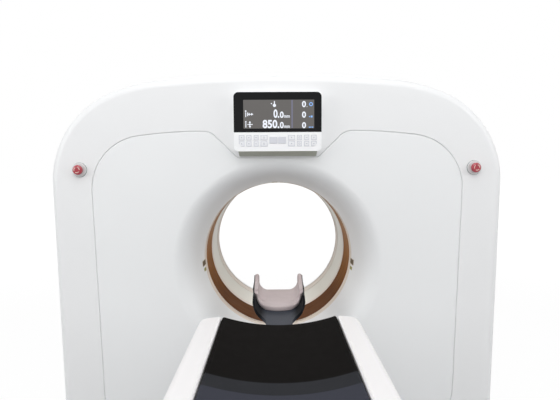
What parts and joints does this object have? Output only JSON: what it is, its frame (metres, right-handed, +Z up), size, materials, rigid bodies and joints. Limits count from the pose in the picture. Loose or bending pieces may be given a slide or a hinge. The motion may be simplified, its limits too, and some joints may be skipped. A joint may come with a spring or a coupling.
{
  "type": "ct scanner",
  "caption": "Ring-shaped scanner gantry with a wide bore and a patient table that lifts and slides its cradle and head holder into the bore.",
  "frame": {"origin": "on the floor, straight under the isocentre, the point where the bore's axis meets the scan plane", "axes": "+Z up; +Y along the bore's axis from the table into the gantry; +X to the right of someone who looks at the gantry from the table"},
  "size_m": [1.95, 3.51, 1.818],
  "materials": {
    "cover_white": "satin",
    "frame_grey": "satin",
    "bearing_steel": "satin",
    "motor_black": "satin",
    "belt_black": "matte",
    "brush_holder": "matte",
    "window_brown": "satin",
    "liner_white": "satin",
    "laser_glass": "gloss",
    "display_black": "gloss",
    "estop_grey": "satin",
    "estop_red": "gloss",
    "rotor_alloy": "satin",
    "slip_copper": "satin",
    "tube_white": "satin",
    "lead_grey": "matte",
    "table_white": "satin",
    "carbon_black": "gloss",
    "mat_black": "satin",
    "pad_grey": "matte",
    "key_grey": "satin"
  },
  "bodies": {
    "gantry": {"base_frame": "frame_grey", "stator_frame": "frame_grey", "bearing_outer_ring": "bearing_steel", "drive_motor": "motor_black", "drive_belt": "belt_black", "brush_block": "brush_holder", "front_surround": "cover_white", "front_panel": "cover_white", "side_cover_left": "cover_white", "side_cover_right": "cover_white", "top_cover": "cover_white", "rear_cover": "cover_white", "scan_window": "window_brown", "rear_bore_liner": "liner_white", "laser_windows": "laser_glass", "display_housing": "cover_white", "display_glass": "display_black", "estop_rings": "estop_grey", "table_base_frame": "frame_grey", "table_base_cover": "cover_white", "lift_gearmotor": "motor_black"},
    "rotor": {"rotor_drum": "rotor_alloy", "slip_ring": "slip_copper", "x_ray_tube": "tube_white", "collimator": "lead_grey", "detector_array": "lead_grey", "hv_generator": "rotor_alloy", "tube_cooler": "rotor_alloy"},
    "motor_pulley": {"motor_pulley": "bearing_steel"},
    "lift_arm_front": {"lift_arm_front": "frame_grey"},
    "lift_arm_rear": {"lift_arm_rear": "frame_grey"},
    "carriage": {"carriage_frame": "frame_grey", "table_body_cover": "table_white", "cradle_rails": "bearing_steel"},
    "cradle": {"cradle": "carbon_black", "cushion": "mat_black"},
    "head_holder": {"head_holder": "carbon_black", "head_pad": "pad_grey"},
    "estop_stem_left": {"estop_stem_left": "bearing_steel"},
    "estop_cap_left": {"estop_cap_left": "estop_red"},
    "estop_stem_right": {"estop_stem_right": "bearing_steel"},
    "estop_cap_right": {"estop_cap_right": "estop_red"},
    "key_left_1_1": {"key_left_1_1": "key_grey"},
    "key_left_1_2": {"key_left_1_2": "key_grey"},
    "key_left_1_3": {"key_left_1_3": "key_grey"},
    "key_left_1_4": {"key_left_1_4": "key_grey"},
    "key_left_2_1": {"key_left_2_1": "key_grey"},
    "key_left_2_2": {"key_left_2_2": "key_grey"},
    "key_left_2_3": {"key_left_2_3": "key_grey"},
    "key_left_2_4": {"key_left_2_4": "key_grey"},
    "key_right_1_1": {"key_right_1_1": "key_grey"},
    "key_right_1_2": {"key_right_1_2": "key_grey"},
    "key_right_1_3": {"key_right_1_3": "key_grey"},
    "key_right_1_4": {"key_right_1_4": "key_grey"},
    "key_right_2_1": {"key_right_2_1": "key_grey"},
    "key_right_2_2": {"key_right_2_2": "key_grey"},
    "key_right_2_3": {"key_right_2_3": "key_grey"},
    "key_right_2_4": {"key_right_2_4": "key_grey"},
    "key_left_middle": {"key_left_middle": "key_grey"},
    "key_right_middle": {"key_right_middle": "key_grey"}
  },
  "joints": [
    {"name": "rotor_spin", "type": "hinge", "parent": "gantry", "child": "rotor", "pos_m": [0, 0.081, 1], "axis": [0, 1, 0], "continuous": true},
    {"name": "pulley_spin", "type": "hinge", "parent": "gantry", "child": "motor_pulley", "pos_m": [-0.43, 0.081, 0.3], "axis": [0, 1, 0], "continuous": true},
    {"name": "table_lift", "type": "hinge", "parent": "gantry", "child": "lift_arm_front", "pos_m": [0, -1.15, 0.14], "axis": [-1, 0, 0], "range_deg": [-44.6, 17]},
    {"name": "rear_arm_swing", "type": "hinge", "parent": "gantry", "child": "lift_arm_rear", "pos_m": [0, -1.95, 0.14], "axis": [-1, 0, 0], "range_deg": [-45, 17.4]},
    {"name": "carriage_level", "type": "hinge", "parent": "lift_arm_front", "child": "carriage", "pos_m": [0, -1.46795, 0.64883], "axis": [-1, 0, 0], "range_deg": [-17.4, 45]},
    {"name": "cradle_slide", "type": "slide", "parent": "carriage", "child": "cradle", "axis": [0, 1, 0], "range_m": [0, 1.25]},
    {"name": "head_holder_slide", "type": "slide", "parent": "cradle", "child": "head_holder", "axis": [0, 1, 0], "range_m": [0, 0.12]},
    {"name": "estop_left_push", "type": "slide", "parent": "gantry", "child": "estop_stem_left", "axis": [0, 1, 0], "range_m": [0, 0.004]},
    {"name": "estop_left_twist", "type": "hinge", "parent": "estop_stem_left", "child": "estop_cap_left", "pos_m": [-0.844, -0.39, 1.417], "axis": [0, 1, 0], "range_deg": [0, 30], "stiffness_Nm_per_rad": 0.05},
    {"name": "estop_right_push", "type": "slide", "parent": "gantry", "child": "estop_stem_right", "axis": [0, 1, 0], "range_m": [0, 0.004]},
    {"name": "estop_right_twist", "type": "hinge", "parent": "estop_stem_right", "child": "estop_cap_right", "pos_m": [0.844, -0.39, 1.417], "axis": [0, 1, 0], "range_deg": [0, 30], "stiffness_Nm_per_rad": 0.05},
    {"name": "key_left_1_1_press", "type": "slide", "parent": "gantry", "child": "key_left_1_1", "axis": [0, 1, 0], "range_m": [0, 0.0012], "stiffness_N_per_m": 400},
    {"name": "key_left_1_2_press", "type": "slide", "parent": "gantry", "child": "key_left_1_2", "axis": [0, 1, 0], "range_m": [0, 0.0012], "stiffness_N_per_m": 400},
    {"name": "key_left_1_3_press", "type": "slide", "parent": "gantry", "child": "key_left_1_3", "axis": [0, 1, 0], "range_m": [0, 0.0012], "stiffness_N_per_m": 400},
    {"name": "key_left_1_4_press", "type": "slide", "parent": "gantry", "child": "key_left_1_4", "axis": [0, 1, 0], "range_m": [0, 0.0012], "stiffness_N_per_m": 400},
    {"name": "key_left_2_1_press", "type": "slide", "parent": "gantry", "child": "key_left_2_1", "axis": [0, 1, 0], "range_m": [0, 0.0012], "stiffness_N_per_m": 400},
    {"name": "key_left_2_2_press", "type": "slide", "parent": "gantry", "child": "key_left_2_2", "axis": [0, 1, 0], "range_m": [0, 0.0012], "stiffness_N_per_m": 400},
    {"name": "key_left_2_3_press", "type": "slide", "parent": "gantry", "child": "key_left_2_3", "axis": [0, 1, 0], "range_m": [0, 0.0012], "stiffness_N_per_m": 400},
    {"name": "key_left_2_4_press", "type": "slide", "parent": "gantry", "child": "key_left_2_4", "axis": [0, 1, 0], "range_m": [0, 0.0012], "stiffness_N_per_m": 400},
    {"name": "key_right_1_1_press", "type": "slide", "parent": "gantry", "child": "key_right_1_1", "axis": [0, 1, 0], "range_m": [0, 0.0012], "stiffness_N_per_m": 400},
    {"name": "key_right_1_2_press", "type": "slide", "parent": "gantry", "child": "key_right_1_2", "axis": [0, 1, 0], "range_m": [0, 0.0012], "stiffness_N_per_m": 400},
    {"name": "key_right_1_3_press", "type": "slide", "parent": "gantry", "child": "key_right_1_3", "axis": [0, 1, 0], "range_m": [0, 0.0012], "stiffness_N_per_m": 400},
    {"name": "key_right_1_4_press", "type": "slide", "parent": "gantry", "child": "key_right_1_4", "axis": [0, 1, 0], "range_m": [0, 0.0012], "stiffness_N_per_m": 400},
    {"name": "key_right_2_1_press", "type": "slide", "parent": "gantry", "child": "key_right_2_1", "axis": [0, 1, 0], "range_m": [0, 0.0012], "stiffness_N_per_m": 400},
    {"name": "key_right_2_2_press", "type": "slide", "parent": "gantry", "child": "key_right_2_2", "axis": [0, 1, 0], "range_m": [0, 0.0012], "stiffness_N_per_m": 400},
    {"name": "key_right_2_3_press", "type": "slide", "parent": "gantry", "child": "key_right_2_3", "axis": [0, 1, 0], "range_m": [0, 0.0012], "stiffness_N_per_m": 400},
    {"name": "key_right_2_4_press", "type": "slide", "parent": "gantry", "child": "key_right_2_4", "axis": [0, 1, 0], "range_m": [0, 0.0012], "stiffness_N_per_m": 400},
    {"name": "key_left_middle_press", "type": "slide", "parent": "gantry", "child": "key_left_middle", "axis": [0, 1, 0], "range_m": [0, 0.0012], "stiffness_N_per_m": 400},
    {"name": "key_right_middle_press", "type": "slide", "parent": "gantry", "child": "key_right_middle", "axis": [0, 1, 0], "range_m": [0, 0.0012], "stiffness_N_per_m": 400}
  ],
  "couplings": [
    {"joint": "pulley_spin", "follows": "rotor_spin", "ratio": 11.667},
    {"joint": "rear_arm_swing", "follows": "table_lift", "ratio": 1},
    {"joint": "carriage_level", "follows": "table_lift", "ratio": -1}
  ]
}
